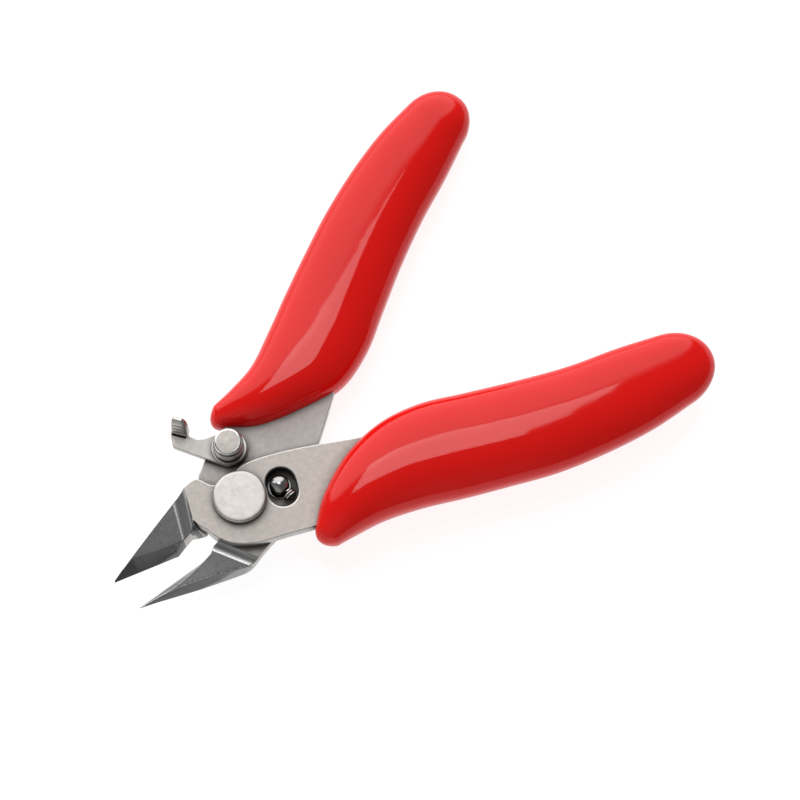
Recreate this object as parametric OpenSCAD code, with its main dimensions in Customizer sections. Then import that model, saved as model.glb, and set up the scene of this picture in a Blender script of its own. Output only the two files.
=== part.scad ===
// Small flush cutter, drawn open: two lapped steel halves on one rivet, dipped grips, a return
// spring in a slot, and a lock lever on a headed stud.
// Millimetres. The origin is on the pivot axis, in the plane of the flush cutting face.
// +X runs from the pivot to the handles, jaws lie along -X, +Z is the head side of the rivet.

/* [Plates] */
// thickness of each steel half where the two lap
plate_t = 1.9; // [1.6:0.1:2.2]
// radius of the round lap around the pivot
lap_r = 6.15; // [6.1:0.05:6.2]
// running gap between parts that slide on each other
slide_gap = 0.02; // [0.01:0.01:0.05]

/* [Pivot] */
// radius of the rivet's flat head
rivet_head_r = 3.75; // [3.5:0.05:3.8]
// height of the rivet's head
rivet_head_h = 1.0; // [0.7:0.1:1.3]
// radius of the rivet's shank
rivet_shank_r = 2.0; // [1.6:0.1:2.2]

/* [Jaws] */
// angle that closes the jaws from the drawn open pose
jaw_open = 13.9; // [13.9:0.1:14.5]
// height of the ground facet at the front jaw's root
front_root_h = 2.3; // [2.1:0.1:2.6]
// height of the ground facet at the rear jaw's root
rear_root_h = 1.35; // [1.1:0.05:1.6]
// height of both tips
tip_h = 0.16; // [0.1:0.02:0.3]

/* [Return spring] */
// radius of the slot's centre line about the pivot
slot_r = 6.1; // [6.0:0.05:6.2]
// width of the slot
slot_w = 4.2; // [4.0:0.05:4.3]
// radius of the post's round head
post_head_r = 1.4; // [1.1:0.05:1.4]
// outside radius of the return spring
coil_r = 1.0; // [0.8:0.05:1.0]
// wire radius of the return spring
wire_r = 0.14; // [0.1:0.01:0.15]

/* [Lock] */
// thickness of the lever's sheet
lever_t = 0.95; // [0.8:0.05:1.1]
// height of the lever's bent tab above the sheet
tab_h = 3.4; // [2.5:0.1:4]
// radius of the stud's head
stud_head_r = 2.0; // [1.7:0.05:2.1]
// height of the stud's head above the lever
stud_h = 3.2; // [3.1:0.1:3.6]

/* [Grips] */
// thickness of the dipped grips
grip_t = 9.0; // [8:0.2:10]
// squareness of the grips' section, where 2 is an ellipse
grip_power = 2.4; // [2:0.1:3]

/* [Hidden] */
front_z = plate_t + slide_gap;
top_z = 2 * plate_t;
shank_gap = 0.03;
jaw_gap = 0.1;
slot_a = [-17.5, -31.5];
post_at = [5.48, -1.93];
post_r = 0.9;
collar_r = 1.7;
collar_h = 0.25;
post_head_h = 0.6;
post_cone_h = 0.4;
spring_a = -85;
spring_start = post_head_r + 0.04;
spring_end = 2.6;
spring_turns = 2.5;
stud_at = [3.6, 6.85];
stud_r = 1.1;
boss_r = 2.6;
lever_z = plate_t + slide_gap;
lever_top = lever_z + lever_t;
washer_h = 0.35;
washer_z = lever_top + 0.01;
stud_head_h = 0.95;
stud_head_z = lever_top + stud_h - stud_head_h;
lock_coil_r = 1.95;
lock_wire_r = 0.21;
lock_turns = 3;
drill = 12;
steel = [0.66, 0.65, 0.63];
red = [0.75, 0.02, 0.03];

// grip outlines in pairs, inner edge then outer edge, from the mouth to the butt
// the rear grip is a little slimmer along its outer half
rear_pairs = [
  [[4.25, 11.15], [4.45, 12.20]], [[5.05, 10.00], [6.10, 13.40]], [[9.00, 7.00], [9.45, 13.65]],
  [[15.15, 5.00], [13.82, 14.48]], [[21.75, 3.95], [18.98, 16.92]], [[27.77, 5.60], [24.48, 19.75]],
  [[33.68, 8.90], [30.36, 22.60]], [[40.06, 12.50], [36.66, 25.45]], [[46.97, 15.90], [43.58, 27.95]],
  [[53.40, 18.55], [50.40, 29.77]], [[59.30, 21.28], [56.80, 30.65]], [[61.76, 22.79], [59.74, 30.36]],
  [[62.89, 24.41], [61.56, 29.39]], [[63.23, 26.13], [62.73, 28.01]]];
front_pairs = [
  [[4.68, 11.50], [4.90, 12.40]], [[5.40, 9.90], [6.30, 13.80]], [[9.20, 7.10], [9.50, 14.35]],
  [[15.20, 4.70], [13.70, 15.30]], [[21.70, 4.10], [18.90, 17.35]], [[27.80, 5.50], [24.40, 20.10]],
  [[33.80, 8.45], [30.30, 22.85]], [[40.30, 11.65], [36.60, 25.65]], [[47.30, 14.80], [43.60, 27.85]],
  [[54.20, 17.20], [50.80, 29.45]], [[60.20, 19.60], [57.30, 30.10]], [[63.00, 21.44], [60.66, 29.92]],
  [[64.27, 23.34], [62.73, 28.92]], [[64.66, 25.31], [64.08, 27.42]]];
// half thickness of the grip at each pair, as a share of the full one
grip_share = [0.10, 0.52, 0.80, 0.95, 1, 1, 0.985, 0.96, 0.93, 0.89, 0.79, 0.64, 0.42, 0.16];
grip_steps = 4;
grip_sides = 36;

// a point on a smooth curve through the list, t from 0 to the last index
function wrap(v, i) = v[max(0, min(len(v) - 1, i))];
function smooth(v, t) =
  let (i = min(len(v) - 2, floor(t)), f = t - i,
       a = wrap(v, i - 1), b = wrap(v, i), c = wrap(v, i + 1), d = wrap(v, i + 2))
  b + 0.5 * f * (c - a + f * (2 * a - 5 * b + 4 * c - d + f * (3 * (b - c) + d - a)));
function smooth_line(v, n) = [for (k = [0:n * (len(v) - 1)]) smooth(v, k / n)];
function arc(r, a, b, n) = [for (k = [0:n]) r * [cos(a + (b - a) * k / n), sin(a + (b - a) * k / n)]];
function power(c, p) = sign(c) * pow(abs(c), p);
function flip(v) = [for (k = [len(v) - 1:-1:0]) [v[k].x, -v[k].y]];

// a closed skin over rings of equal length
module skin(rings) {
  n = len(rings[0]);
  m = len(rings);
  side = [for (j = [0:m - 2], i = [0:n - 1])
    let (a = j * n + i, b = j * n + (i + 1) % n)
    each [[a, a + n, b], [b, a + n, b + n]]];
  polyhedron([for (r = rings) each r],
    concat([[for (i = [0:n - 1]) i]], side, [[for (i = [n - 1:-1:0]) (m - 1) * n + i]]));
}

// round wire along a path
module wire(path, r, sides = 8) {
  n = len(path);
  skin([for (k = [0:n - 1])
    let (d = path[min(n - 1, k + 1)] - path[max(0, k - 1)], u = d / norm(d),
         s = abs(u.z) < 0.9 ? cross(u, [0, 0, 1]) : cross(u, [1, 0, 0]), p = s / norm(s), q = cross(p, u))
    [for (i = [0:sides - 1]) path[k] + r * (cos(360 * i / sides) * p + sin(360 * i / sides) * q)]]);
}

module plate(outline, z, t) translate([0, 0, z]) linear_extrude(t) polygon(outline);

// tang edges, common to both halves, drawn for the +Y handle
tang_inner = [[23.0, 5.7], [28.0, 7.9], [35.0, 11.6], [42.0, 15.2], [50.0, 18.9], [55.0, 21.0]];
tang_end = [[57.2, 22.6], [58.0, 24.8], [57.0, 27.0], [54.5, 28.0]];
tang_outer = [[50.0, 27.3], [42.0, 25.4], [35.0, 22.9], [28.0, 19.8], [22.0, 16.6], [17.0, 13.9],
              [12.0, 12.1], [5.7, 10.0]];

rear_outline = concat(
  [[-6.90, -2.30], [-6.60, -4.20], [-6.30, -7.60], [-5.70, -8.02], [-4.96, -8.15], [-3.40, -7.95],
   [-1.91, -7.57], [1.50, -7.00], [4.60, -6.20], [6.60, -5.30], [8.20, -3.90], [9.90, -2.70], [14.71, 0.15],
   [20.0, 3.7]],
  tang_inner, tang_end, tang_outer,
  [[1.71, 8.70], [0.30, 8.05], [-1.20, 7.25], [-2.05, 6.75], [-2.30, 6.20]],
  arc(lap_r, 113, 201, 22));

front_outline = concat(
  [[-6.95, 1.73], [-6.75, 0.30]], arc(6.4, 184, 206, 6), arc(6.45, 211, 232, 5),
  [[-3.30, -6.05], [-2.19, -6.60], [0.0, -7.60], [2.02, -8.40]], flip(tang_outer), flip(tang_end),
  flip(tang_inner),
  [[19.5, -4.35], [18.22, -3.85], [13.39, -1.05], [9.41, 1.13], [6.90, 2.30], [5.20, 2.98], [3.60, 3.46],
   [2.96, 3.54], [1.60, 3.40], [0.20, 3.30], [-1.00, 3.50], [-1.72, 3.95], [-2.15, 4.65], [-2.50, 5.55],
   [-2.75, 5.98], [-3.15, 6.24], [-3.70, 6.32], [-4.90, 6.25]]);

// jaw sections, each a foot, two top corners and a foot, outer edge first on the front jaw
cut_a = -3.2;
function cut_y(x) = -2.30 + (x + 20.15) * tan(cut_a);
function open_y(x) = 2.72 + (x + 20.5) * tan(cut_a - jaw_open);
front_jaw = [
  [[-20.38, 2.88, 0], [-20.38, 2.88, tip_h], [-20.45, 2.74, tip_h], [-20.50, 2.72, 0]],
  [[-16.90, 3.72, 0], [-16.90, 3.72, 0.9], [-16.40, 3.33, 0.9], [-16.90, open_y(-16.9), 0]],
  [[-11.90, 4.80, 0], [-11.90, 4.80, 1.8], [-11.20, 1.30, 1.85], [-11.30, open_y(-11.3), 0]],
  [[-8.60, 5.46, 0], [-8.60, 5.46, front_root_h], [-9.60, 0.78, front_root_h - 0.1], [-9.60, 0.30, 0]],
  [[-7.65, 5.66, 0], [-7.65, 5.66, front_root_h + 0.4], [-8.60, 0.95, front_root_h + 0.25], [-8.34, 0.53, 0]],
  [[-6.40, 5.93, 0], [-6.40, 5.93, top_z - 0.55], [-7.55, 0.80, top_z - 0.7], [-7.40, 0.0, 0]],
  [[-5.20, 6.19, 0], [-5.20, 6.19, top_z], [-6.95, 0.60, top_z], [-6.70, -0.34, 0]],
  [[-4.30, 6.27, 0], [-4.30, 6.27, top_z], [-5.60, 0.60, top_z], [-5.60, -0.38, 0]]];
rear_jaw = [
  [[-20.15, -2.30, 0], [-20.12, -2.34, tip_h], [-20.02, -2.44, tip_h], [-20.00, -2.45, 0]],
  [[-16.00, cut_y(-16), 0], [-16.30, -3.00, 0.62], [-16.40, -3.15, 0.62], [-15.42, -4.32, 0]],
  [[-12.00, cut_y(-12), 0], [-12.00, -3.35, 1.05], [-11.60, -4.75, 1.05], [-12.09, -5.73, 0]],
  [[-9.91, cut_y(-9.91), 0], [-9.70, -3.20, rear_root_h], [-8.60, -6.10, rear_root_h], [-9.00, -6.87, 0]],
  [[-7.74, -2.82, 0], [-7.80, -3.00, rear_root_h + 0.15],
   [-6.50, -7.00, rear_root_h + 0.15], [-6.58, -7.77, 0]],
  [[-6.80, -2.30, 0], [-6.80, -2.40, plate_t], [-5.40, -7.55, plate_t], [-5.75, -8.00, 0]],
  [[-5.60, -1.90, 0], [-5.60, -2.00, plate_t], [-4.60, -7.65, plate_t], [-4.96, -8.15, 0]]];

// a round hole right through, on the axis of a pin
module bore(at, r) translate([at.x, at.y, -1]) cylinder(r = r, h = drill, $fn = 96);

module slot() {
  steps = 8;
  for (k = [0:steps])
    rotate(slot_a[0] + (slot_a[1] - slot_a[0]) * k / steps) bore([slot_r, 0], slot_w / 2);
}

module rear_plate() color(steel) difference() {
  union() {
    plate(rear_outline, 0, plate_t);
    skin(rear_jaw);
  }
  bore([0, 0], rivet_shank_r);
  bore(post_at, post_r);
  bore(stud_at, stud_r);
}

module front_plate() color(steel) difference() {
  union() {
    plate(front_outline, front_z, plate_t - slide_gap);
    difference() {
      skin(front_jaw);
      translate([0, 0, -1]) cylinder(r = lap_r + jaw_gap, h = front_z + 1, $fn = 128);
    }
  }
  bore([0, 0], rivet_shank_r + shank_gap);
  slot();
}

module pivot_rivet() color(steel) {
  cylinder(r = rivet_shank_r, h = top_z + slide_gap + 0.1, $fn = 96);
  translate([0, 0, top_z + slide_gap]) rotate_extrude($fn = 128)
    polygon([[0, 0], [rivet_head_r - 0.06, 0], [rivet_head_r, 0.06], [rivet_head_r, rivet_head_h - 0.15],
             [rivet_head_r - 0.05, rivet_head_h - 0.05], [rivet_head_r - 0.15, rivet_head_h],
             [0, rivet_head_h]]);
}

// a full grip around its own half's tang
module grip(pairs, z) {
  inner = smooth_line([for (p = pairs) p[0]], grip_steps);
  outer = smooth_line([for (p = pairs) p[1]], grip_steps);
  share = smooth_line(grip_share, grip_steps);
  skin([for (k = [0:len(inner) - 1])
    let (mid = (inner[k] + outer[k]) / 2, half = (outer[k] - inner[k]) / 2)
    [for (i = [0:grip_sides - 1])
      let (w = power(cos(360 * i / grip_sides), 2 / grip_power),
           h = power(sin(360 * i / grip_sides), 2 / grip_power))
      [mid.x + w * half.x, mid.y + w * half.y, z + h * share[k] * grip_t / 2]]]);
}

module rear_grip() color(red) difference() {
  grip(rear_pairs, plate_t / 2);
  plate(rear_outline, 0, plate_t);
}

module front_grip() color(red) difference() {
  mirror([0, 1, 0]) grip(front_pairs, top_z - plate_t / 2);
  plate(front_outline, front_z, plate_t - slide_gap);
}

module spring_post() color(steel) translate([post_at.x, post_at.y, 0]) {
  head_z = top_z - post_head_h;
  cylinder(r = post_r, h = head_z, $fn = 64);
  translate([0, 0, plate_t]) cylinder(r = collar_r, h = collar_h, $fn = 64);
  translate([0, 0, head_z - post_cone_h]) cylinder(r1 = post_r, r2 = post_head_r, h = post_cone_h, $fn = 64);
  translate([0, 0, head_z]) intersection() {
    scale([1, 1, 0.75]) sphere(r = post_head_r, $fn = 64);
    cylinder(r = 2 * post_head_r, h = post_head_r, $fn = 64);
  }
}

// a coil of even pitch along +X, its ends at start and end
function coil(mid_r, wire, start, end, turns, per_turn) = [for (k = [0:turns * per_turn])
  let (a = 360 * k / per_turn, s = start + wire + (end - start - 2 * wire) * k / (turns * per_turn))
  [s, mid_r * sin(a), mid_r * cos(a)]];

// spring from the post to the far end of the slot
module return_spring() color(steel)
  translate([post_at.x, post_at.y, plate_t + collar_h + coil_r + slide_gap]) rotate(spring_a)
    wire(coil(coil_r - wire_r, wire_r, spring_start, spring_end, spring_turns, 20), wire_r);

fold = [[0.42, 12.05], [-0.92, 13.95]];
ribs = 3;
rib_d = 0.14;
rib_low = 0.4;
rib_share = 0.9;
tab_lean = 0.18;
lever_outline = concat(
  [for (v = arc(boss_r, 208, 440, 18)) stud_at + v],
  [[3.30, 9.65], [2.68, 9.90], [2.14, 10.06], [1.52, 10.40], [0.98, 10.85], [0.70, 11.40]], fold,
  [[-1.15, 13.95], [-2.19, 12.2], [-2.22, 11.95]]);

module lock_lever() color(steel) difference() {
  union() {
    plate(lever_outline, lever_z, lever_t);
    tab();
  }
  bore(stud_at, stud_r + shank_gap);
}

// the bent-up finger tab, its inner face ribbed along the fold
module tab() {
  u = fold[1] - fold[0];
  top = lever_t + tab_h;
  rib_h = (tab_h - 0.6) / ribs;
  inner = [for (k = [0:ribs - 1])
    let (z = lever_t + rib_low + k * rib_h, x = -tab_lean * (z - lever_t))
    each [[x, z], [x + rib_d, z + rib_h / 2], [x, z + rib_share * rib_h]]];
  translate([fold[0].x, fold[0].y, lever_z]) rotate(atan2(u.y, u.x))
    rotate([90, 0, 90]) linear_extrude(norm(u))
      polygon(concat([[0.6, 0], [0.6, lever_t], [0.3, lever_t], [0.06, lever_t + 0.15]], inner,
                     [[-0.65, top], [-1.1, top], [-1.35, top - 0.35], [-0.85, 0.6], [-0.6, 0.15], [-0.3, 0]]));
}

module lock_stud() color(steel) translate([stud_at.x, stud_at.y, 0]) {
  cylinder(r = stud_r, h = stud_head_z + 0.1, $fn = 64);
  translate([0, 0, stud_head_z]) rotate_extrude($fn = 96)
    polygon([[0, 0], [stud_head_r, 0], [stud_head_r, stud_head_h - 0.25],
             [stud_head_r - 0.07, stud_head_h - 0.08], [stud_head_r - 0.24, stud_head_h], [0, stud_head_h]]);
}

module lock_washer() color(steel) difference() {
  translate([stud_at.x, stud_at.y, washer_z]) cylinder(r = boss_r - 0.1, h = washer_h, $fn = 96);
  bore(stud_at, stud_r + 0.05);
}

// spring that presses the lever down, between the washer and the stud's head
module lock_spring() color(steel)
  translate([stud_at.x, stud_at.y, washer_z + washer_h]) rotate([0, -90, 0])
    wire(coil(lock_coil_r, lock_wire_r, 0.01, stud_head_z - washer_z - washer_h - 0.01, lock_turns, 24),
         lock_wire_r, 10);

rear_plate();
front_plate();
pivot_rivet();
rear_grip();
front_grip();
spring_post();
return_spring();
lock_stud();
lock_lever();
lock_washer();
lock_spring();
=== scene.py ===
"""Looks of the small flush cutter: meshes, materials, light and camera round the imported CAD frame."""

from math import cos, pi, radians, sin, tan

import bmesh
import bpy
import numpy as np
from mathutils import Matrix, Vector, geometry

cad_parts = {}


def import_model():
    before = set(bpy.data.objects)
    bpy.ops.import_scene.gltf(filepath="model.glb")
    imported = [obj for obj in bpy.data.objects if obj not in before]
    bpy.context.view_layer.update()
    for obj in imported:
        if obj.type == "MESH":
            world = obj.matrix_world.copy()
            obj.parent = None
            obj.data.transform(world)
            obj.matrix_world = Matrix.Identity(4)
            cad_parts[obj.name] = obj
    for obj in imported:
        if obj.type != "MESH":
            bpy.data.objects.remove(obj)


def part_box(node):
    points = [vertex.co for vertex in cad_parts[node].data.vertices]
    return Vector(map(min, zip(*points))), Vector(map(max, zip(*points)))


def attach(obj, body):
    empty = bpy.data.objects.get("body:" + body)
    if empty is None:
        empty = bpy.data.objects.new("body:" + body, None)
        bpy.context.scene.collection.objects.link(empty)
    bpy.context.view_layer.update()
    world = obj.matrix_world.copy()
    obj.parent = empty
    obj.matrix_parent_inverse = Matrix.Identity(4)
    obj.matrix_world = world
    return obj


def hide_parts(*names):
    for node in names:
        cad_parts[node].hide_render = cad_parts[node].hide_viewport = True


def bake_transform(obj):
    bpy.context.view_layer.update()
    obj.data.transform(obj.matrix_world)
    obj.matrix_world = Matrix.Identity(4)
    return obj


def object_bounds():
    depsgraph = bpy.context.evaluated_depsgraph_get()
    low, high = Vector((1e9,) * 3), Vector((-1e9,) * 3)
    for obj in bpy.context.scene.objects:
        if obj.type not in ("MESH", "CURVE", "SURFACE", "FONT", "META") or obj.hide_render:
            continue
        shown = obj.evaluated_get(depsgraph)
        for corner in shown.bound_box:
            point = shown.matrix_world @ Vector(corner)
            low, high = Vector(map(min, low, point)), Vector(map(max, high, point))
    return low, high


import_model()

MM = 0.001
# width of the flat strip kept beside each rounded edge, so that flat faces shade flat
LOOP = 0.03
# where a quarter round's middle point lies, in from each of its two edges, as a share of its radius
ROUND = 0.29
REAR, FRONT, LEVER = "rear_half", "front_half", "lever"
cad_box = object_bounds()

# the view's right and away directions on the floor, which the camera and the lights are placed by
VIEW_TURN = radians(-40.3)
RIGHT = Vector((cos(VIEW_TURN), sin(VIEW_TURN), 0))
AWAY = Vector((-sin(VIEW_TURN), cos(VIEW_TURN), 0))


def cad_mm(node):
    """Lowest and highest corner of a CAD node, in millimetres."""
    low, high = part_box(node)
    return np.array(low) / MM, np.array(high) / MM


# ---- sizes read from the frame, in millimetres ----

PLATE_T = cad_mm("rear_plate")[1][2]
FRONT_Z = cad_mm("lock_lever")[0][2]
TOP_Z = cad_mm("front_plate")[1][2]
RIVET_HIGH = cad_mm("pivot_rivet")[1]
RIVET_R = RIVET_HIGH[0]
STUD_LOW, STUD_HIGH = cad_mm("lock_stud")
STUD_AT = (STUD_LOW[:2] + STUD_HIGH[:2]) / 2
STUD_HEAD_R = (STUD_HIGH[0] - STUD_LOW[0]) / 2
POST_LOW, POST_HIGH = cad_mm("spring_post")
POST_AT = (POST_LOW[:2] + POST_HIGH[:2]) / 2
WASHER_LOW, WASHER_HIGH = cad_mm("lock_washer")
COIL_LOW, COIL_HIGH = cad_mm("lock_spring")
LEVER_LOW, LEVER_HIGH = cad_mm("lock_lever")
REAR_GRIP = cad_mm("rear_grip")
FRONT_GRIP = cad_mm("front_grip")

# ---- shapes ----


def curve(points, step=0.35):
    """Points on a smooth curve through the given ones. A point given twice in a row is a corner."""
    p = np.array(points, float)
    out = [p[0]]
    for i in range(len(p) - 1):
        b, c = p[i], p[i + 1]
        if np.allclose(b, c):
            continue
        a = p[i - 1] if i and not np.allclose(p[i - 1], b) else 2 * b - c
        d = p[i + 2] if i + 2 < len(p) and not np.allclose(p[i + 2], c) else 2 * c - b
        n = max(1, int(round(np.linalg.norm(c - b) / step)))
        for k in range(1, n + 1):
            f = k / n
            out.append(b + 0.5 * f * (c - a + f * (2 * a - 5 * b + 4 * c - d + f * (3 * (b - c) + d - a))))
    return np.array(out)


def arc(r, start, end, n=8):
    """Points on a circle round the pivot, angles in degrees."""
    return [(r * cos(radians(t)), r * sin(radians(t))) for t in np.linspace(start, end, n + 1)]


def circle(at, r, n=64):
    t = np.linspace(0, 2 * pi, n, endpoint=False)
    return np.column_stack([at[0] + r * np.cos(t), at[1] + r * np.sin(t)])


def inward(ring):
    """Unit normals to the left of a closed ring, where repeated points share one normal."""
    p = np.array(ring)[:, :2]
    n = len(p)
    out = np.zeros((n, 2))
    for i in range(n):
        a = next(p[(i - k) % n] for k in range(1, n) if np.linalg.norm(p[(i - k) % n] - p[i]) > 1e-6)
        b = next(p[(i + k) % n] for k in range(1, n) if np.linalg.norm(p[(i + k) % n] - p[i]) > 1e-6)
        u = (p[i] - a) / np.linalg.norm(p[i] - a)
        v = (b - p[i]) / np.linalg.norm(b - p[i])
        m = np.array([-(u + v)[1], (u + v)[0]])
        m /= max(np.linalg.norm(m), 1e-9)
        grow = max(0.5, m @ np.array([-u[1], u[0]]))
        out[i] = m / grow
    return out


def inside(points, polygon):
    """Which of the points lie in the polygon."""
    x, y = points[:, 0], points[:, 1]
    q = np.array(polygon)
    found = np.zeros(len(points), bool)
    for a, b in zip(q, np.roll(q, -1, 0)):
        if a[1] == b[1]:
            continue
        hit = ((a[1] > y) != (b[1] > y)) & (x < (b[0] - a[0]) * (y - a[1]) / (b[1] - a[1]) + a[0])
        found ^= hit
    return found


class Mesh:
    """A mesh that grows ring by ring and fill by fill, in millimetres."""

    def __init__(self):
        self.verts, self.faces, self.slots = [], [], []

    def ring(self, points):
        first = len(self.verts)
        self.verts += [tuple(float(v) for v in p) for p in points]
        return list(range(first, len(self.verts)))

    def wall(self, lower, upper, slot=0, closed=True):
        n = len(lower)
        for i in range(n if closed else n - 1):
            j = (i + 1) % n
            self.faces.append((lower[i], lower[j], upper[j], upper[i]))
            self.slots.append(slot)

    def fill(self, outer, holes=(), extra=(), creases=(), height=None, up=True, slot=lambda p: 0):
        """Triangles over a ring, with holes, loose points and crease lines, raised to height(x, y)."""
        loops = [outer, *holes]
        pts, ids, edges = [], [], []
        for loop in loops:
            first = len(pts)
            pts += [self.verts[i][:2] for i in loop]
            ids += loop
            edges += [(first + k, first + (k + 1) % len(loop)) for k in range(len(loop))]
        for line in creases:
            first = len(pts)
            pts += [tuple(p) for p in line]
            ids += [None] * len(line)
            edges += [(first + k, first + k + 1) for k in range(len(line) - 1)]
        pts += [tuple(p) for p in extra]
        ids += [None] * len(extra)
        found = geometry.delaunay_2d_cdt([Vector(p) for p in pts], edges, [], 0, 1e-5)
        verts, tris, origin = found[0], found[2], found[3]
        flat = np.array([v[:] for v in verts])
        mine = []
        for k, v in enumerate(verts):
            known = [ids[o] for o in origin[k] if o < len(ids) and ids[o] is not None]
            if known:
                mine.append(known[0])
            else:
                mine.append(len(self.verts))
                self.verts.append((v.x, v.y, height(v.x, v.y)))
        mid = np.array([flat[list(t)].mean(0) for t in tris])
        keep = inside(mid, [self.verts[i][:2] for i in outer])
        for hole in holes:
            keep &= ~inside(mid, [self.verts[i][:2] for i in hole])
        for t, ok, m in zip(tris, keep, mid):
            if not ok:
                continue
            a, b, c = (flat[i] for i in t)
            turn = (b[0] - a[0]) * (c[1] - a[1]) - (b[1] - a[1]) * (c[0] - a[0])
            order = t if (turn > 0) == up else t[::-1]
            self.faces.append(tuple(mine[i] for i in order))
            self.slots.append(slot(m))

    def build(self, name, materials, body, node=None, sharp=35, weld=1e-4):
        data = bpy.data.meshes.new(name)
        data.from_pydata([tuple(c * MM for c in v) for v in self.verts], [], self.faces)
        for m in materials:
            data.materials.append(m)
        data.polygons.foreach_set("material_index", self.slots)
        bm = bmesh.new()
        bm.from_mesh(data)
        bmesh.ops.remove_doubles(bm, verts=bm.verts, dist=weld * MM)
        bmesh.ops.dissolve_degenerate(bm, edges=bm.edges, dist=1e-7)
        bmesh.ops.recalc_face_normals(bm, faces=bm.faces)
        bm.to_mesh(data)
        bm.free()
        data.polygons.foreach_set("use_smooth", [True] * len(data.polygons))
        data.set_sharp_from_angle(angle=radians(sharp))
        obj = bpy.data.objects.new(name, data)
        bpy.context.scene.collection.objects.link(obj)
        if body:
            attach(obj, body)
        if node:
            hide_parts(node)
        return obj


def weigh(obj):
    """Keeps flat faces flat in shading where they meet rounded edges."""
    m = obj.modifiers.new("weighted", "WEIGHTED_NORMAL")
    m.keep_sharp = True
    m.weight = 80
    return obj


def slab(mesh, bottom, top, edge_low, edge_high, side_slot, bulge=0.0):
    """Rings up the side of a plate, with rounded edges. Returns its lowest and highest ring."""
    b, t = np.array(bottom, float), np.array(top, float)
    up = t - b
    high = np.linalg.norm(up, axis=1)
    up /= high[:, None]
    low_e = np.minimum(edge_low, 0.3 * high)[:, None]
    top_e = np.minimum(edge_high, 0.3 * high)[:, None]
    nb = np.column_stack([inward(b), np.zeros(len(b))])
    nt = np.column_stack([inward(t), np.zeros(len(t))])
    flat = (b - t) * (1, 1, 0)
    middle = (b + t) / 2 + flat * np.reshape(bulge, (-1, 1))
    rows = [b + (low_e + LOOP) * nb, b + low_e * nb, b + ROUND * low_e * (nb + up), b + low_e * up, middle,
            t - top_e * up, t + ROUND * top_e * (nt - up), t + top_e * nt, t + (top_e + LOOP) * nt]
    rings = [mesh.ring(r) for r in rows]
    for lower, upper in zip(rings, rings[1:]):
        mesh.wall(lower, upper, side_slot)
    return rings[0], rings[-1]


def hole_rings(mesh, ring, z_low, z_high, edge, side_slot):
    """The wall of a hole through a plate, with rounded mouths."""
    out = np.array(ring)
    n = inward(out)
    rim = (edge + LOOP) * n
    part = ROUND * edge
    rows = [(out - rim, z_low), (out - edge * n, z_low), (out - part * n, z_low + part),
            (out, z_low + edge), (out, z_high - edge), (out - part * n, z_high - part),
            (out - edge * n, z_high), (out - rim, z_high)]
    rings = [mesh.ring([(*p, z) for p in row]) for row, z in rows]
    for lower, upper in zip(rings, rings[1:]):
        mesh.wall(upper, lower, side_slot)
    return rings[0], rings[-1]


def lathe(name, profile, at, materials, body, node=None, n=96, slots=None, sharp=35):
    """A turned piece: profile is (radius, height) from its lower middle to its upper middle."""
    mesh = Mesh()
    t = np.linspace(0, 2 * pi, n, endpoint=False)
    rings = [mesh.ring([(at[0] + max(r, 1e-3) * cos(a), at[1] + max(r, 1e-3) * sin(a), z) for a in t])
             for r, z in profile]
    for k, (lower, upper) in enumerate(zip(rings, rings[1:])):
        mesh.wall(lower, upper, slots[k] if slots else 0)
    for ring, flip in ((rings[0], True), (rings[-1], False)):
        mesh.faces.append(tuple(reversed(ring)) if flip else tuple(ring))
        mesh.slots.append(slots[0 if flip else -1] if slots else 0)
    return mesh.build(name, materials, body, node, sharp)


def tube(mesh, path, radius, sides=14):
    """A round wire along a path, with domed ends."""
    p = np.array(path, float)
    d = np.gradient(p, axis=0)
    d /= np.linalg.norm(d, axis=1)[:, None]
    s = np.cross(d[0], (0, 0, 1) if abs(d[0][2]) < 0.9 else (1, 0, 0))
    rings = []
    last = len(p) - 1
    places = [(0, 0.3), (0, 0.75)] + [(k, 1) for k in range(len(p))] + [(last, 0.75), (last, 0.3)]
    for k, f in places:
        s = s - d[k] * (s @ d[k])
        s /= np.linalg.norm(s)
        q = np.cross(d[k], s)
        place = p[k] + (0 if f == 1 else radius * (1 - f * f) ** 0.5 * (-d[k] if k == 0 else d[k]))
        turns = [2 * pi * i / sides for i in range(sides)]
        rings.append(mesh.ring([place + f * radius * (cos(a) * s + sin(a) * q) for a in turns]))
    for a, b in zip(rings, rings[1:]):
        mesh.wall(a, b)
    mesh.faces += [tuple(reversed(rings[0])), tuple(rings[-1])]
    mesh.slots += [0, 0]


# ---- materials ----


def material(name):
    m = bpy.data.materials.new(name)
    m.use_nodes = True
    nodes, links = m.node_tree.nodes, m.node_tree.links
    return m, nodes, links, nodes["Principled BSDF"]


def noise(nodes, links, scale, detail=4.0, rough=0.6, stretch=(1, 1, 1), turn=(0, 0, 0)):
    """Object-space noise, finer with scale in features a metre."""
    where = nodes.new("ShaderNodeTexCoord")
    place = nodes.new("ShaderNodeMapping")
    place.inputs["Scale"].default_value = stretch
    place.inputs["Rotation"].default_value = turn
    n = nodes.new("ShaderNodeTexNoise")
    n.inputs["Scale"].default_value = scale
    n.inputs["Detail"].default_value = detail
    n.inputs["Roughness"].default_value = rough
    links.new(where.outputs["Object"], place.inputs["Vector"])
    links.new(place.outputs["Vector"], n.inputs["Vector"])
    return n.outputs["Fac"]


def ramp(nodes, links, source, stops):
    r = nodes.new("ShaderNodeValToRGB")
    while len(r.color_ramp.elements) < len(stops):
        r.color_ramp.elements.new(0.5)
    for e, (at, c) in zip(r.color_ramp.elements, stops):
        e.position = at
        e.color = (*c, 1) if len(c) == 3 else c
    links.new(source, r.inputs["Fac"])
    return r.outputs["Color"]


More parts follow.
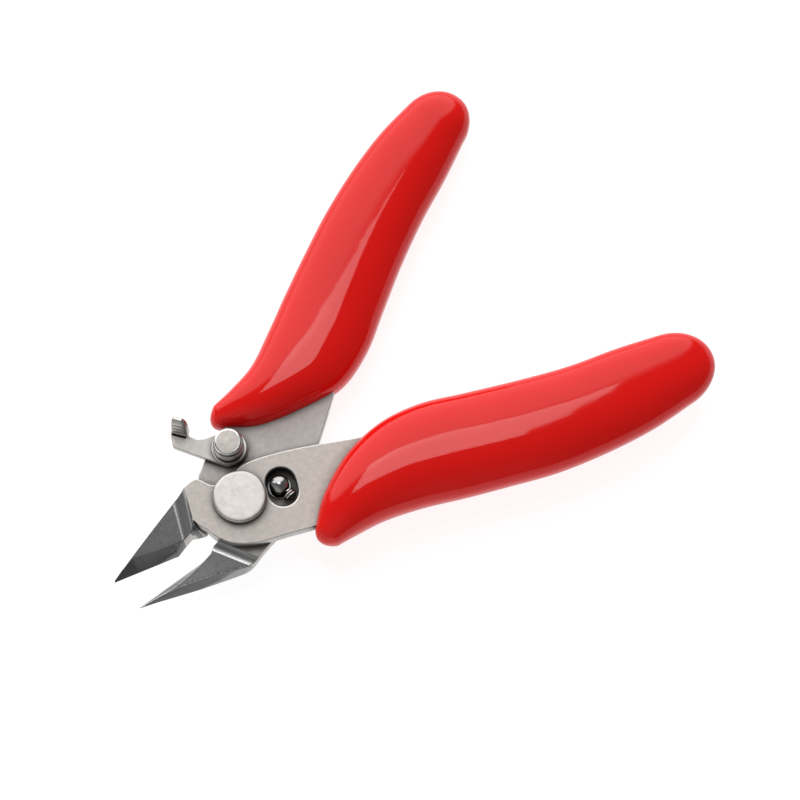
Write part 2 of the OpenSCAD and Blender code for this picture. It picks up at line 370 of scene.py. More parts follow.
def spread(nodes, links, source, low, high):
    r = nodes.new("ShaderNodeMapRange")
    r.inputs["From Min"].default_value = 0.3
    r.inputs["From Max"].default_value = 0.7
    r.inputs["To Min"].default_value = low
    r.inputs["To Max"].default_value = high
    links.new(source, r.inputs["Value"])
    return r.outputs["Result"]


def bump(nodes, links, source, shader, strength, distance):
    b = nodes.new("ShaderNodeBump")
    b.inputs["Strength"].default_value = strength
    b.inputs["Distance"].default_value = distance
    links.new(source, b.inputs["Height"])
    links.new(b.outputs["Normal"], shader.inputs["Normal"])


def painted_corner_shade(nodes, links, color, shader, reach):
    """Painted shade: darkens the colour in corners and hollows, by how closed in each point is."""
    near = nodes.new("ShaderNodeAmbientOcclusion")
    near.samples = 16
    near.inputs["Distance"].default_value = reach * MM
    keep = nodes.new("ShaderNodeMapRange")
    keep.inputs["From Min"].default_value = 0.38
    keep.inputs["From Max"].default_value = 0.92
    keep.inputs["To Min"].default_value = 0.14
    keep.inputs["To Max"].default_value = 1.0
    links.new(near.outputs["AO"], keep.inputs["Value"])
    mix = nodes.new("ShaderNodeVectorMath")
    mix.operation = "SCALE"
    links.new(color, mix.inputs[0])
    links.new(keep.outputs["Result"], mix.inputs["Scale"])
    links.new(mix.outputs["Vector"], shader.inputs["Base Color"])


def steel(name, dark, light, rough, grain, stretch=(1, 1, 1), turn=(0, 0, 0), metallic=1.0, reach=1.6,
          depth=4e-6):
    """Steel between two tones, with a fine and a broad noise, fine bumps and painted shade in its corners.
    """
    m, nodes, links, shader = material(name)
    shader.inputs["Metallic"].default_value = metallic
    fine = noise(nodes, links, grain, 5, 0.65, stretch, turn)
    broad = noise(nodes, links, 1300, 3, 0.6)
    mix = nodes.new("ShaderNodeMix")
    mix.data_type = "FLOAT"
    mix.inputs["Factor"].default_value = 0.5
    links.new(fine, mix.inputs["A"])
    links.new(broad, mix.inputs["B"])
    both = mix.outputs["Result"]
    # painted shade: the steel's colour is darkened in corners and hollows
    painted_corner_shade(nodes, links, ramp(nodes, links, both, [(0.3, dark), (0.7, light)]), shader, reach)
    links.new(spread(nodes, links, both, rough + 0.05, rough - 0.05), shader.inputs["Roughness"])
    bump(nodes, links, fine, shader, 0.5, depth)
    return m


def vinyl(name):
    """Glossy dipped vinyl, its skin very slightly uneven."""
    m, nodes, links, shader = material(name)
    tint = noise(nodes, links, 90, 3, 0.5)
    links.new(ramp(nodes, links, tint, [(0.3, (0.73, 0.007, 0.005)), (0.7, (0.77, 0.008, 0.006))]),
              shader.inputs["Base Color"])
    shader.inputs["Roughness"].default_value = 0.06
    shader.inputs["IOR"].default_value = 1.34
    bump(nodes, links, noise(nodes, links, 160, 2, 0.4), shader, 0.12, 2e-4)
    return m


# the front plate's painted shade reaches further, to darken the plate round the rivet head
FRONT_FACE = steel("blasted_steel", (0.46, 0.42, 0.39), (0.60, 0.55, 0.51), 0.62, 9000,
                   metallic=0.5, reach=2.4)
# the rear plate's steel is the front plate's made darker: painted shade for the lower plate
REAR_FACE = steel("rear_steel_painted_shade", (0.41, 0.385, 0.365), (0.54, 0.505, 0.48), 0.62, 9000, metallic=0.5)
EDGE = steel("sheared_edge", (0.36, 0.35, 0.33), (0.52, 0.50, 0.48), 0.34, 5000, (1, 1, 6))
GROUND = steel("ground_steel", (0.275, 0.275, 0.275), (0.335, 0.33, 0.325), 0.26, 2600,
               (1, 7, 1), (0, 0, 0.2), depth=1e-6)
BEVEL = steel("honed_bevel", (0.14, 0.14, 0.14), (0.185, 0.18, 0.18), 0.26, 3000,
              (1, 7, 1), (0, 0, 0.1), depth=1e-6)
HEAD = steel("rivet_head", (0.47, 0.44, 0.425), (0.57, 0.535, 0.515), 0.50, 7000)
STUD_FACE = steel("stud_face", (0.29, 0.27, 0.25), (0.38, 0.355, 0.33), 0.45, 7000)
SHEET = steel("lever_sheet", (0.47, 0.445, 0.425), (0.57, 0.545, 0.52), 0.55, 7000, metallic=0.6)
BRIGHT = steel("bright_steel", (0.50, 0.50, 0.50), (0.68, 0.68, 0.67), 0.18, 4000)
BALL = steel("post_steel", (0.26, 0.26, 0.26), (0.36, 0.36, 0.35), 0.16, 4000)
WIRE = steel("spring_wire", (0.42, 0.41, 0.39), (0.60, 0.58, 0.55), 0.24, 6000)
GRIP = vinyl("dipped_vinyl")
ON_PLATE, ON_EDGE, ON_FACET, ON_BEVEL = range(4)

# ---- steel halves ----

# radius of the lap joint's round shoulder on each half
LAP_R = 6.15
WALL_R = LAP_R + 0.1
# edge radii: the sheared plates, a cutting edge, and the jaws' upper rims
EDGE_R = 0.13
KEEN = 0.02
JAW_EDGE = 0.05

TANG_INNER = [(23.0, 5.7), (28.0, 7.9), (35.0, 11.6), (42.0, 15.2), (50.0, 18.9), (55.0, 21.0)]
TANG_END = [(57.2, 22.6), (58.0, 24.8), (57.0, 27.0), (54.5, 28.0)]
TANG_OUTER = [(50.0, 27.3), (42.0, 25.4), (35.0, 22.9), (28.0, 19.8), (22.0, 16.6), (17.0, 13.9),
              (12.0, 12.1), (5.7, 10.0)]


def flip(points):
    """An outline mirrored onto the other half, and run the other way."""
    return [(x, -y) for x, y in reversed(points)]


def facet(x, y, line, width, plate_z, plane):
    """Height of a ground jaw: down a hollow radius from the plate's face, then a sloping plane."""
    (ax, ay), n = line[0], jaw_normal(line)
    away = (x - ax) * n[0] + (y - ay) * n[1]
    if away >= width:
        return max(TIP_Z, plane(x, y))
    left = 1 - max(0.0, away) / width
    foot = plane(x + left * width * n[0], y + left * width * n[1])
    steep = 0.97
    f = (1 - (1 - (steep * left) ** 2) ** 0.5) / (1 - (1 - steep ** 2) ** 0.5)
    return max(TIP_Z, foot + (plate_z - foot) * f)


def front_plane(x, y):
    """Height of the front jaw's ground facet, falling towards its tip."""
    return 2.3 + 0.184 * (x + 9)


def rear_plane(x, y):
    """Height of the rear jaw's ground facet, falling away from its root."""
    n = jaw_normal(REAR_LINE)
    d = (x - REAR_LINE[0][0]) * n[0] + (y - REAR_LINE[0][1]) * n[1] - REAR_BAND
    return 1.5 - 0.155 * d + 0.0026 * d * d


def front_top(x, y):
    if on_plate_side(x, y, FRONT_LINE):
        return TOP_Z
    return facet(x, y, FRONT_LINE, FRONT_BAND, TOP_Z, front_plane)


def rear_top(x, y):
    if on_plate_side(x, y, REAR_LINE):
        return PLATE_T
    return facet(x, y, REAR_LINE, REAR_BAND, PLATE_T, rear_plane)


def on_plate_side(x, y, line):
    (ax, ay), (bx, by) = line
    return (bx - ax) * (y - ay) - (by - ay) * (x - ax) <= 1e-6


def split(points, n):
    """Each span of a line cut into n equal steps."""
    p = [np.array(q) for q in points]
    return np.array([a + (b - a) * k / n for a, b in zip(p, p[1:]) for k in range(n)] + [p[-1]])


def jaw_normal(line):
    (ax, ay), (bx, by) = line
    n = np.array([-(by - ay), bx - ax])
    return n / np.linalg.norm(n)


# each line runs along a jaw's root, with the jaw on its left
FRONT_LINE = ((-6.97, 1.73), (-4.90, 6.25))
FRONT_BAND = 2.1
REAR_LINE = ((-3.10, -7.85), (-5.95, -2.35))
REAR_BAND = 1.5
TIP_Z = 0.16
CUT_A = radians(-3.2)
OPEN_A = radians(-3.2 - 13.9)


def cut_y(x):
    """The rear jaw's cutting edge."""
    return -2.30 + (x + 20.15) * tan(CUT_A)


def open_y(x):
    """The front jaw's cutting edge, swung open."""
    return 2.72 + (x + 20.5) * tan(OPEN_A)


def both(points, z_low, z_high):
    """The same outline low and high."""
    return [(x, y, z_low) for x, y in points], [(x, y, z_high) for x, y in points]


def band_lines(polygon, line, width):
    """Lines along a jaw's hollow, close together where it is steep or ends, kept clear of the outline."""
    a, b = np.array(line)
    n = jaw_normal(line)
    along = (b - a) / np.linalg.norm(b - a)
    lines = []
    for share in (0.02, 0.06, 0.13, 0.24, 0.38, 0.54, 0.70, 0.82, 0.91, 0.97, 1.0, 1.05):
        row = [a + n * share * width + along * s for s in np.arange(-3, 12, 0.15)]
        clear = np.ones(len(row), bool)
        for dx, dy in circle((0, 0), 0.12, 8):
            clear &= inside(np.array(row) + (dx, dy), polygon)
        kept = [p for p, ok in zip(row, clear) if ok]
        if len(kept) > 1:
            lines.append(kept)
    return lines


def face_slot(line):
    """Picks the plate's finish or the ground one for a point, by its side of a jaw's root line."""
    return lambda p: ON_PLATE if on_plate_side(p[0], p[1], line) else ON_FACET


def grid(polygon, line, width):
    """Loose points over the flat part of a jaw's facet."""
    step = 0.3
    p = np.array(polygon)
    xs = np.arange(p[:, 0].min(), p[:, 0].max(), step)
    ys = np.arange(p[:, 1].min(), p[:, 1].max(), step)
    pts = np.array([(x + 0.37 * step * (j % 2), y) for j, y in enumerate(ys) for x in xs])
    (ax, ay), n = line[0], jaw_normal(line)
    return [q for q in pts[inside(pts, polygon)] if (q[0] - ax) * n[0] + (q[1] - ay) * n[1] > 1.08 * width]


def front_half():
    """The upper steel half: the lapped plate with its ear and slot, and its ground jaw."""
    plate = curve([FRONT_LINE[0], FRONT_LINE[0], (-6.78, 0.45), *arc(6.4, 184, 208, 5), (-5.25, -3.80),
                   (-4.19, -5.05), (-2.19, -6.55), (0.0, -7.55), (2.02, -8.40), *flip(TANG_OUTER),
                   *flip(TANG_END), *flip(TANG_INNER), (19.5, -4.35), (18.22, -3.85), (13.39, -1.05),
                   (9.41, 1.13), (6.90, 2.30), (5.20, 2.98), (3.60, 3.46), (2.96, 3.54), (1.60, 3.40),
                   (0.20, 3.30), (-1.00, 3.50), (-1.72, 3.95), (-2.15, 4.65), (-2.50, 5.55), (-2.75, 5.98),
                   (-3.15, 6.24), (-3.70, 6.32), FRONT_LINE[1], FRONT_LINE[1]])
    outer = curve([FRONT_LINE[1], (-7.65, 5.66), (-11.90, 4.80), (-16.90, 3.72), (-20.38, 2.88)])
    foot = [(-20.50, 2.72), (-18.7, open_y(-18.7)), (-16.9, open_y(-16.9)), (-14.0, open_y(-14.0)),
            (-11.3, open_y(-11.3)), (-9.6, 0.30), (-8.34, 0.53), (-7.40, 0.0), (-6.70, -0.34),
            (-6.24, -0.36)]
    ridge = [(-20.42, 2.80), (-18.6, 3.27), (-16.6, 3.55), (-13.9, 2.35), (-11.2, 1.30), (-9.6, 0.72),
             (-8.70, 0.80), (-7.75, 0.95), (-7.15, 1.35), FRONT_LINE[0]]
    foot, ridge = split(foot, 9), split(ridge, 9)
    # the plate's lower face sits on the rear half, and the jaw reaches down past it outside the lap
    bottom, top = [], []
    root = len(plate)
    for x, y in plate:
        bottom.append((x, y, FRONT_Z))
        top.append((x, y, TOP_Z))
    for x, y in outer:
        bottom.append((x, y, 0.0))
        top.append((x, y, front_top(x, y)))
    for (x, y), (u, v) in zip(foot[:-1], ridge[:-1]):
        bottom.append((x, y, 0.0))
        top.append((u, v, front_top(u, v)))
    bottom.append((*foot[-1], 0.0))
    top.append((*ridge[-1], TOP_Z))
    bottom.append((*foot[-1], FRONT_Z))
    top.append((*ridge[-1], TOP_Z))
    bottom[0] = (*foot[-1], FRONT_Z)
    mesh = Mesh()
    is_jaw = np.array([k >= root for k in range(len(bottom))])
    low_e = np.where(is_jaw, KEEN, EDGE_R)
    high_e = np.where(is_jaw, JAW_EDGE, EDGE_R)
    lower, upper = slab(mesh, bottom, top, low_e, high_e, ON_EDGE)
    shade_jaw_walls(mesh, -7.0, ON_BEVEL)
    slot_ring = slot_outline()
    shank = circle((0, 0), 2.05)
    holes = [hole_rings(mesh, slot_ring, FRONT_Z, TOP_Z, 0.22, ON_EDGE),
             hole_rings(mesh, shank, FRONT_Z, TOP_Z, 0.1, ON_EDGE)]
    line = split(FRONT_LINE, 16)[1:-1]
    jaw_ring = [p[:2] for p in top[root:]]
    lines = [line, *band_lines(jaw_ring, FRONT_LINE, FRONT_BAND)]
    loose = grid(jaw_ring, FRONT_LINE, FRONT_BAND)
    mesh.fill(upper, [h[1] for h in holes], loose, lines, front_top, True, face_slot(FRONT_LINE))
    wall_a = arc(WALL_R, 183.3, 128.5, 24)
    plate_ids = lower[:root]
    jaw_ids = lower[root:-1]
    high_wall = mesh.ring([(x, y, FRONT_Z) for x, y in wall_a])
    low_wall = mesh.ring([(x, y, 0.0) for x, y in wall_a])
    mesh.fill([*plate_ids, *reversed(high_wall)], [h[0] for h in holes], (), (), lambda x, y: FRONT_Z, False)
    mesh.fill([*jaw_ids, *low_wall], (), (), (), lambda x, y: 0.0, False)
    mesh.wall(high_wall, low_wall, ON_EDGE, closed=False)
    return weigh(mesh.build("front_plate_ground", [FRONT_FACE, EDGE, GROUND, BEVEL], FRONT, "front_plate"))


def shade_jaw_walls(mesh, limit, slot):
    """Side faces of a jaw that lean are ground, and get the given finish."""
    v = np.array(mesh.verts)
    for k, face in enumerate(mesh.faces):
        p = v[list(face)]
        if mesh.slots[k] != ON_EDGE or p[:, 0].mean() > limit:
            continue
        n = np.cross(p[2] - p[0], p[3] - p[1])
        size = np.linalg.norm(n)
        if size > 1e-9 and abs(n[2]) / size > 0.2:
            mesh.slots[k] = slot


SLOT_R, SLOT_HALF = 6.1, 2.1
SLOT_HIGH_A, SLOT_LOW_A = radians(-17.5), radians(-31.5)


def turned(angle):
    return np.array([cos(angle), sin(angle)])


def slot_outline():
    """The kidney slot in the front plate, an arc about the pivot with round ends."""
    r, half, a0, a1 = SLOT_R, SLOT_HALF, SLOT_HIGH_A, SLOT_LOW_A
    low = np.array([r * cos(a1), r * sin(a1)])
    high = np.array([r * cos(a0), r * sin(a0)])
    out = [(r + half) * turned(t) for t in np.linspace(a1, a0, 8)]
    out += [high + half * turned(t) for t in np.linspace(a0, a0 + pi, 22)[1:]]
    out += [(r - half) * turned(t) for t in np.linspace(a0, a1, 8)[1:]]
    out += [low + half * turned(t) for t in np.linspace(a1 + pi, a1 + 2 * pi, 22)[1:-1]]
    return np.array(out)


def rear_half():
    """The lower steel half: a flat plate, and its ground jaw."""
    plate = curve([(-3.10, -7.85), (-3.10, -7.85), (-1.91, -7.57), (1.50, -7.00), (4.60, -6.20),
                   (6.60, -5.30), (8.20, -3.90), (9.90, -2.70), (14.71, 0.15), (20.0, 3.7),
                   *TANG_INNER, *TANG_END, *TANG_OUTER, (1.71, 8.70), (0.30, 8.05),
                   (-1.20, 7.25), (-2.05, 6.75), (-2.35, 6.25), (-2.35, 5.68),
                   *arc(LAP_R, 113, 200, 22), (-5.95, -2.35), (-5.95, -2.35)])
    foot_in = [(-5.95, -2.35), (-6.80, -2.35), (-7.74, -2.82), (-9.91, cut_y(-9.91)), (-12.0, cut_y(-12.0)),
               (-14.0, cut_y(-14.0)), (-16.0, cut_y(-16.0)), (-18.0, cut_y(-18.0)), (-20.15, -2.30)]
    ridge = [(-5.95, -2.35), (-6.80, -2.42), (-7.80, -3.00), (-9.80, -3.25), (-12.0, -3.35), (-14.0, -3.30),
             (-16.0, -3.10), (-17.9, -2.72), (-20.05, -2.36)]
    foot_out = [(-20.05, -2.44), (-17.8, -3.30), (-15.42, -4.32), (-12.09, -5.73), (-9.0, -6.90),
                (-6.58, -7.77), (-5.70, -8.05), (-4.96, -8.18), (-4.10, -8.08), (-3.10, -7.85)]
    flank = [(-20.02, -2.40), (-17.2, -2.95), (-14.33, -3.75), (-12.0, -4.62), (-9.3, -5.75), (-6.55, -7.10),
             (-5.60, -7.60), (-4.90, -7.90), (-4.05, -7.95), (-3.10, -7.85)]
    foot_in, ridge, foot_out, flank = (split(line, 8) for line in (foot_in, ridge, foot_out, flank))
    bottom = [(x, y, 0.0) for x, y in plate[:-1]]
    top = [(x, y, PLATE_T) for x, y in plate[:-1]]
    root = len(bottom)
    for low, high in ((foot_in, ridge), (foot_out[:-1], flank[:-1])):
        for (x, y), (u, v) in zip(low, high):
            bottom.append((x, y, 0.0))
            top.append((u, v, rear_top(u, v)))
    mesh = Mesh()
    is_jaw = np.array([k >= root for k in range(len(bottom))])
    is_flank = np.array([k >= root + len(foot_in) for k in range(len(bottom))])
    low_e = np.where(is_jaw, KEEN, EDGE_R)
    high_e = np.where(is_jaw, JAW_EDGE, EDGE_R)
    lower, upper = slab(mesh, bottom, top, low_e, high_e, ON_EDGE, np.where(is_flank, 0.15, 0.0))
    shade_jaw_walls(mesh, -3.2, ON_FACET)
    line = split(REAR_LINE, 16)[1:-1]
    jaw_ring = [p[:2] for p in top[root:]]
    lines = [line, *band_lines(jaw_ring, REAR_LINE, REAR_BAND)]
    loose = grid(jaw_ring, REAR_LINE, REAR_BAND)
    mesh.fill(upper, (), loose, lines, rear_top, True, face_slot(REAR_LINE))
    mesh.fill(lower, (), (), (), lambda x, y: 0.0, False)
    return weigh(mesh.build("rear_plate_ground", [REAR_FACE, EDGE, GROUND, BEVEL], REAR, "rear_plate"))


# ---- grips ----

# each grip's outline in pairs, inner edge then outer edge, from the jaw end on, and its two end points
REAR_PAIRS = [
    ((5.05, 10.00), (6.10, 13.40)), ((9.00, 7.00), (9.45, 13.65)), ((15.15, 5.00), (13.82, 14.48)),
    ((21.75, 3.95), (18.98, 16.92)), ((27.77, 5.60), (24.48, 19.75)), ((33.68, 8.90), (30.36, 22.60)),
    ((40.06, 12.50), (36.66, 25.45)), ((46.97, 15.90), (43.58, 27.95)), ((53.40, 18.55), (50.40, 29.77)),
    ((59.30, 21.28), (56.80, 30.65))]
REAR_TIPS = ((4.20, 11.70), (63.10, 27.10))
FRONT_PAIRS = [
    ((5.40, 9.90), (6.30, 13.80)), ((9.20, 7.10), (9.50, 14.35)), ((15.20, 4.70), (13.70, 15.30)),
    ((21.70, 4.10), (18.90, 17.35)), ((27.80, 5.50), (24.40, 20.10)), ((33.80, 8.45), (30.30, 22.85)),
    ((40.30, 11.65), (36.60, 25.65)), ((47.30, 14.80), (43.60, 27.85)), ((54.20, 17.20), (50.80, 29.45)),
    ((60.20, 19.60), (57.30, 30.10))]
FRONT_TIPS = ((4.60, 11.90), (64.50, 26.40))
# half thickness at each pair, as a share of the grip's full one
GRIP_SHARE = [0.52, 0.80, 0.95, 1, 1, 0.985, 0.96, 0.93, 0.89, 0.79]
# where on its half ellipse each end starts to round: the jaw end, then the far end
END_TURNS = (pi / 4, radians(8))


def through(points, n):
    """n points a span on a smooth curve through the given ones."""
    p = np.array(points, float).reshape(len(points), -1)
    out = []
    for i in range(len(p) - 1):
        a, b, c, d = (p[min(max(i + k, 0), len(p) - 1)] for k in (-1, 0, 1, 2))
        for k in range(n):
            f = k / n
            out.append(b + 0.5 * f * (c - a + f * (2 * a - 5 * b + 4 * c - d + f * (3 * (b - c) + d - a))))
    return np.array(out + [p[-1]])


def grip_end(station, tip, first_turn):
    """Stations from a grip's last pair round to its tip, along a half ellipse."""
    a, b, s = station
    mid, half = (a + b) / 2, (b - a) / 2
    start = sin(first_turn)
    out = []
    for turn in np.linspace(first_turn, radians(87), 13)[1:]:
        width = cos(turn) / cos(first_turn)
        place = mid + (np.array(tip) - mid) * (sin(turn) - start) / (1 - start)
        out.append((place - half * width, place + half * width, s * width))
    return out


def grip(name, node, body, side, pairs, tips, limits):
    """A dipped grip: rounded sections across its outline, as high as the CAD one's limits."""
    spans, sides, power = 10, 72, 2.4
    inner = through([p[0] for p in pairs], spans)
    outer = through([p[1] for p in pairs], spans)
    share = through(GRIP_SHARE, spans)[:, 0]
    stations = list(zip(inner, outer, share))
    near_end = grip_end(stations[0], tips[0], END_TURNS[0])[::-1]
    far_end = grip_end(stations[-1], tips[1], END_TURNS[1])
    stations = near_end + stations + far_end
    z_mid = (limits[0][2] + limits[1][2]) / 2
    half_t = (limits[1][2] - limits[0][2]) / 2
    mesh = Mesh()
    rings = []
    t = np.linspace(0, 2 * pi, sides, endpoint=False)
    w = np.sign(np.cos(t)) * np.abs(np.cos(t)) ** (2 / power)
    h = np.sign(np.sin(t)) * np.abs(np.sin(t)) ** (2 / power)
    for a, b, s in stations:
        mid, half = (a + b) / 2, (b - a) / 2
        rings.append(mesh.ring([(mid[0] + u * half[0], side * (mid[1] + u * half[1]), z_mid + v * s * half_t)
                                for u, v in zip(w, h)]))
    for a, b in zip(rings, rings[1:]):
        mesh.wall(a, b)
    for ring in (rings[0], rings[-1]):
        mesh.faces.append(tuple(ring))
        mesh.slots.append(0)
    return mesh.build(name, [GRIP], body, node, 80)


# ---- small parts ----


def rivet():
    """The pivot rivet, its wide head with a rolled rim."""
    z0, z1, r = TOP_Z + 0.02, RIVET_HIGH[2], RIVET_R
    profile = [(2.0, 0.0), (2.0, z0), (r - 0.08, z0), (r, z0 + 0.08), (r, z1 - 0.28), (r - 0.04, z1 - 0.16),
               (r - 0.13, z1 - 0.06), (r - 0.27, z1 - 0.01), (r - 0.6, z1), (r / 2, z1), (0, z1)]
    slots = [1, 1, 1, 1, 1, 1, 1, 0, 0, 0]
    return weigh(lathe("pivot_rivet_turned", profile, (0, 0), [HEAD, EDGE], REAR, "pivot_rivet", 160, slots))


def post():
    """The return spring's post, with a collar on the plate and a domed head."""
    z1 = POST_HIGH[2]
    r = 1.4
    dome = [(r * cos(a), z1 - 1.05 + 1.05 * sin(a)) for a in np.linspace(0, pi / 2, 14)]
    profile = [(0.9, 0.0), (0.9, PLATE_T), (1.62, PLATE_T), (1.7, PLATE_T + 0.08), (1.7, PLATE_T + 0.17),
               (1.6, PLATE_T + 0.25), (0.95, PLATE_T + 0.27), (0.9, PLATE_T + 0.4), (0.9, z1 - 1.45),
               (r, z1 - 1.05), *dome]
    return lathe("spring_post_domed", profile, POST_AT, [BALL], REAR, "spring_post", 64)


def stud():
    """The lever's stud, with a bevelled head."""
    z0, z1, r = COIL_HIGH[2], STUD_HIGH[2], STUD_HEAD_R
    profile = [(1.1, 0.0), (1.1, z0), (r - 0.1, z0), (r, z0 + 0.1), (r, z1 - 0.36), (r - 0.05, z1 - 0.22),
               (r - 0.12, z1 - 0.09), (r - 0.22, z1 - 0.02), (r - 0.36, z1), (0.6, z1), (0, z1)]
    slots = [1, 1, 1, 1, 1, 1, 1, 1, 0, 0]
    finishes = [STUD_FACE, BRIGHT]
    return weigh(lathe("lock_stud_turned", profile, STUD_AT, finishes, REAR, "lock_stud", 96, slots))


def washer():
    """The thin washer between the lever and its spring."""
    z0, z1 = WASHER_LOW[2], WASHER_HIGH[2]
    r0, r1 = 1.15, (WASHER_HIGH[0] - WASHER_LOW[0]) / 2
    mesh = Mesh()
    t = np.linspace(0, 2 * pi, 96, endpoint=False)
    e = 0.08
    rows = [(r0 + e, z0), (r1 - e, z0), (r1, z0 + e), (r1, z1 - e),
            (r1 - e, z1), (r0 + e, z1), (r0, z1 - e), (r0, z0 + e)]
    rings = [mesh.ring([(STUD_AT[0] + r * cos(a), STUD_AT[1] + r * sin(a), z) for a in t]) for r, z in rows]
    for a, b in zip(rings, rings[1:] + rings[:1]):
        mesh.wall(a, b)
    return weigh(mesh.build("lock_washer_flat", [EDGE], REAR, "lock_washer"))


def lock_spring():
    """The coil round the stud that presses the lever down."""
    thick, turns, per = 0.21, 3, 48
    mid_r = (COIL_HIGH[0] - COIL_LOW[0]) / 2 - thick
    low, high = COIL_LOW[2] + thick, COIL_HIGH[2] - thick
    path = []
    for k in range(turns * per + 1):
        f = k / (turns * per)
        a = 2 * pi * turns * f
        path.append((STUD_AT[0] + mid_r * cos(a), STUD_AT[1] + mid_r * sin(a), low + (high - low) * f))
    mesh = Mesh()
    tube(mesh, path, thick)
    return mesh.build("lock_spring_coil", [WIRE], REAR, "lock_spring")


def return_spring():
    """The small coil from the post to the slot's end."""
    start, length, turns, per, mid_r, wire_r = 1.44, 1.16, 2.5, 40, 0.86, 0.14
    a0 = radians(-85)
    z = PLATE_T + 0.25 + mid_r + wire_r + 0.02
    path = []
    for k in range(int(turns * per) + 1):
        f = k / (turns * per)
        a = 2 * pi * turns * f
        s = start + wire_r + (length - 2 * wire_r) * f
        side = mid_r * sin(a)
        path.append((POST_AT[0] + s * cos(a0) - side * sin(a0), POST_AT[1] + s * sin(a0) + side * cos(a0),
                     z + mid_r * cos(a)))
    mesh = Mesh()
    tube(mesh, path, wire_r, 10)
    obj = mesh.build("return_spring_coil", [WIRE], None, "return_spring")
    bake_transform(obj)
    return obj


LEVER_T = 0.95
BOSS_R = 2.6
# the tab's fold line at the arm's end, from its right end to its left
FOLD = ((0.42, 12.05), (-0.92, 13.95))


def lever():
    """The lock lever: a round boss on the stud, a curved arm and the tab."""
    z0, t = LEVER_LOW[2], LEVER_T
    boss = [STUD_AT + BOSS_R * turned(radians(a)) for a in np.linspace(208, 440, 20)]
    outline = curve([*boss, (3.30, 9.65), (2.68, 9.90), (2.14, 10.06), (1.52, 10.40), (0.98, 10.85),
                     (0.70, 11.40), FOLD[0], FOLD[0], FOLD[1], FOLD[1], (-1.20, 13.92), (-2.12, 12.3),
                     (-2.22, 11.98),
                     (-2.10, 11.70), (-2.10, 11.70), boss[0]], 0.25)[:-1]
    mesh = Mesh()
    bottom, top = both(outline, z0, z0 + t)
    lower, upper = slab(mesh, bottom, top, 0.08, 0.12, ON_EDGE)
    low_h, high_h = hole_rings(mesh, circle(STUD_AT, 1.13), z0, z0 + t, 0.08, ON_EDGE)
    mesh.fill(upper, [high_h], (), (), lambda x, y: z0 + t, True)
    mesh.fill(lower, [low_h], (), (), lambda x, y: z0, False)
    tab(mesh, z0, t)
    return weigh(mesh.build("lock_lever_bent", [SHEET, EDGE], LEVER, "lock_lever"))


def tab(mesh, z0, t):
    """The bent-up finger tab, ribbed along the fold inside and rounded down to the arm at one end."""
    a, b = np.array(FOLD)
    length = np.linalg.norm(b - a)
    u = (b - a) / length
    v = np.array((u[1], -u[0]))
    h = LEVER_HIGH[2] - z0 - t
    ribs, lean, low = 3, 0.18, 0.4
    pitch = (h - 0.6) / ribs
    inner = []
    for k in range(ribs):
        for share, out in ((0.0, 0.0), (0.2, -0.26), (0.5, -0.32), (0.8, -0.26)):
            z = low + (k + share) * pitch
            inner.append((lean * z + out, t + z))
    section = [(-0.6, 0.0), (-0.6, t), (-0.3, t), (-0.06, t + 0.15), *inner, (0.62, t + h - 0.08),
               (0.78, t + h), (1.02, t + h - 0.03), (1.25, t + h - 0.2), (1.33, t + h - 0.5),
               (0.85, 0.6), (0.75, 0.3), (0.6, 0.13), (0.45, 0.04), (0.3, 0.0)]
    rings = []
    for s in np.linspace(0, 1, 41):
        rise = (1 - (1 - min(1.0, s / 0.45)) ** 2) ** 0.5 * 0.92 + 0.08
        pinch = 1 - 0.05 * (1 - min(1, s * length / 0.1, (1 - s) * length / 0.1))
        points = []
        for x, z in section:
            tall = t + (z - t) * rise if z > t else z
            side = x if z <= t or x < 0 else x * (0.35 + 0.65 * rise)
            place = a + u * s * length + v * (0.4 + (side - 0.4) * pinch)
            points.append((place[0], place[1], z0 + tall * pinch + 0.02 * (1 - pinch)))
        rings.append(mesh.ring(points))
    for p, q in zip(rings, rings[1:]):
        mesh.wall(p, q, ON_EDGE)
    mesh.faces += [tuple(rings[0]), tuple(reversed(rings[-1]))]
    mesh.slots += [ON_EDGE, ON_EDGE]


front_half()
rear_half()
grip("rear_grip_dipped", "rear_grip", REAR, 1, REAR_PAIRS, REAR_TIPS, REAR_GRIP)
grip("front_grip_dipped", "front_grip", FRONT, -1, FRONT_PAIRS, FRONT_TIPS, FRONT_GRIP)
rivet()
post()
stud()
washer()
lock_spring()
return_spring()
lever()

# ---- floor, camera and light ----


def floor():
    """A plain pale sheet just under the tool."""
    z = cad_box[0][2] - 0.00005
    data = bpy.data.meshes.new("floor")
    s = 1.5
    data.from_pydata([(-s, -s, z), (s, -s, z), (s, s, z), (-s, s, z)], [], [(0, 1, 2, 3)])
    obj = bpy.data.objects.new("floor", data)
    m, _, _, shader = material("floor_paper")
    shader.inputs["Base Color"].default_value = (0.25, 0.25, 0.25, 1)
    shader.inputs["Roughness"].default_value = 1.0
    shader.inputs["Specular IOR Level"].default_value = 0.0
    shader.inputs["Emission Color"].default_value = (1, 1, 1, 1)
    shader.inputs["Emission Strength"].default_value = 0.88
    data.materials.append(m)
    bpy.context.scene.collection.objects.link(obj)


def look(obj, target):
    """Turns a camera to face a point."""
    obj.rotation_euler = (Vector(target) - obj.location).to_track_quat("-Z", "Y").to_euler()


# where the camera stands and what it aims at, in metres
CAMERA_AT = (-0.0672, -0.11365, 0.4484)
CAMERA_AIM = (0.02663, -0.003, 0.0019)


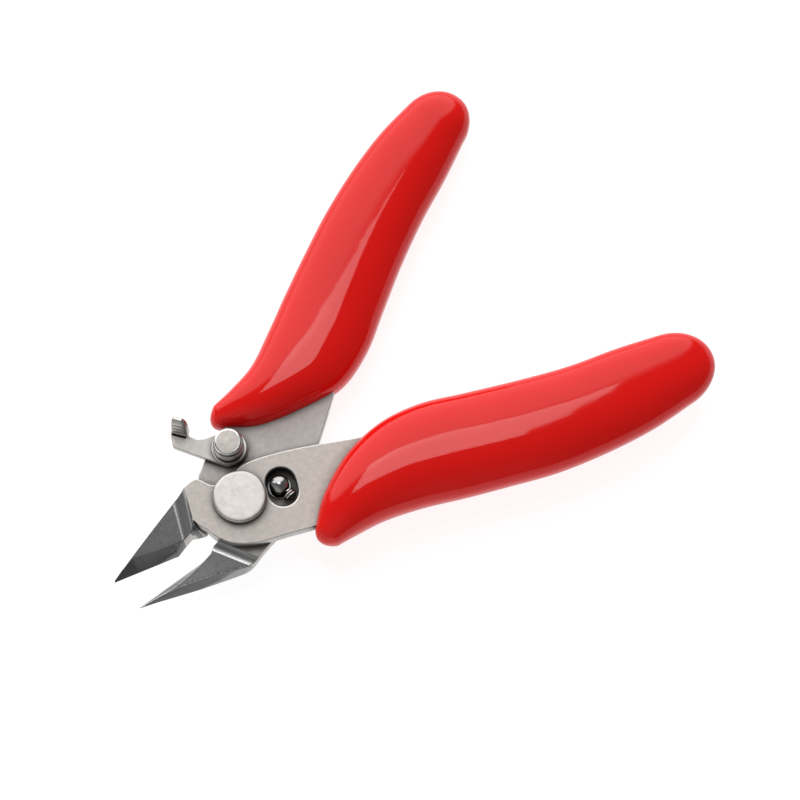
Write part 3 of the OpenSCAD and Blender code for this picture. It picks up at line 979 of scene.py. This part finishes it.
def camera():
    """A long lens, high on the tool's near side."""
    data = bpy.data.cameras.new("camera")
    data.lens = 150
    data.sensor_width = 36
    data.clip_end = 10
    obj = bpy.data.objects.new("camera", data)
    obj.location = CAMERA_AT
    look(obj, CAMERA_AIM)
    bpy.context.scene.collection.objects.link(obj)
    bpy.context.scene.camera = obj


def softbox(name, right, away, height, size, radiance):
    """A level panel over the tool, its place given along the view's right and away directions."""
    data = bpy.data.lights.new(name, "AREA")
    data.shape = "RECTANGLE"
    data.size, data.size_y = size
    data.energy = radiance * pi * size[0] * size[1]
    obj = bpy.data.objects.new(name, data)
    obj.location = RIGHT * right + AWAY * away + Vector((0, 0, height))
    obj.rotation_euler = (0, 0, VIEW_TURN)
    bpy.context.scene.collection.objects.link(obj)


def world(wall, near, dark):
    """A white wall beyond the tool and to its left, fill from the near left, and a dim room elsewhere."""
    w = bpy.data.worlds.new("studio")
    w.use_nodes = True
    nodes, links = w.node_tree.nodes, w.node_tree.links
    where = nodes.new("ShaderNodeTexCoord")
    total = None
    parts = [(RIGHT * -0.25 + AWAY * 0.87 + Vector((0, 0, 0.42)), 0.66, 0.76, dark, wall),
             (RIGHT * -0.50 + AWAY * -0.75 + Vector((0, 0, 0.25)), 0.40, 0.90, 0.0, near)]
    for toward, start, full, low, high in parts:
        side = nodes.new("ShaderNodeVectorMath")
        side.operation = "DOT_PRODUCT"
        side.inputs[1].default_value = toward.normalized()
        step = nodes.new("ShaderNodeMapRange")
        step.interpolation_type = "SMOOTHSTEP"
        step.inputs["From Min"].default_value = start
        step.inputs["From Max"].default_value = full
        step.inputs["To Min"].default_value = low
        step.inputs["To Max"].default_value = high
        links.new(where.outputs["Generated"], side.inputs[0])
        links.new(side.outputs["Value"], step.inputs["Value"])
        if total is None:
            total = step.outputs["Result"]
            continue
        add = nodes.new("ShaderNodeMath")
        links.new(total, add.inputs[0])
        links.new(step.outputs["Result"], add.inputs[1])
        total = add.outputs["Value"]
    links.new(total, nodes["Background"].inputs["Strength"])
    nodes["Background"].inputs["Color"].default_value = (1, 1, 1, 1)
    bpy.context.scene.world = w


floor()
camera()
world(2.35, 0.4, 0.2)
softbox("key_softbox", -0.02, 0.2525, 0.9, (0.32, 0.265), 4.8)
bpy.context.scene.view_settings.view_transform = "Standard"
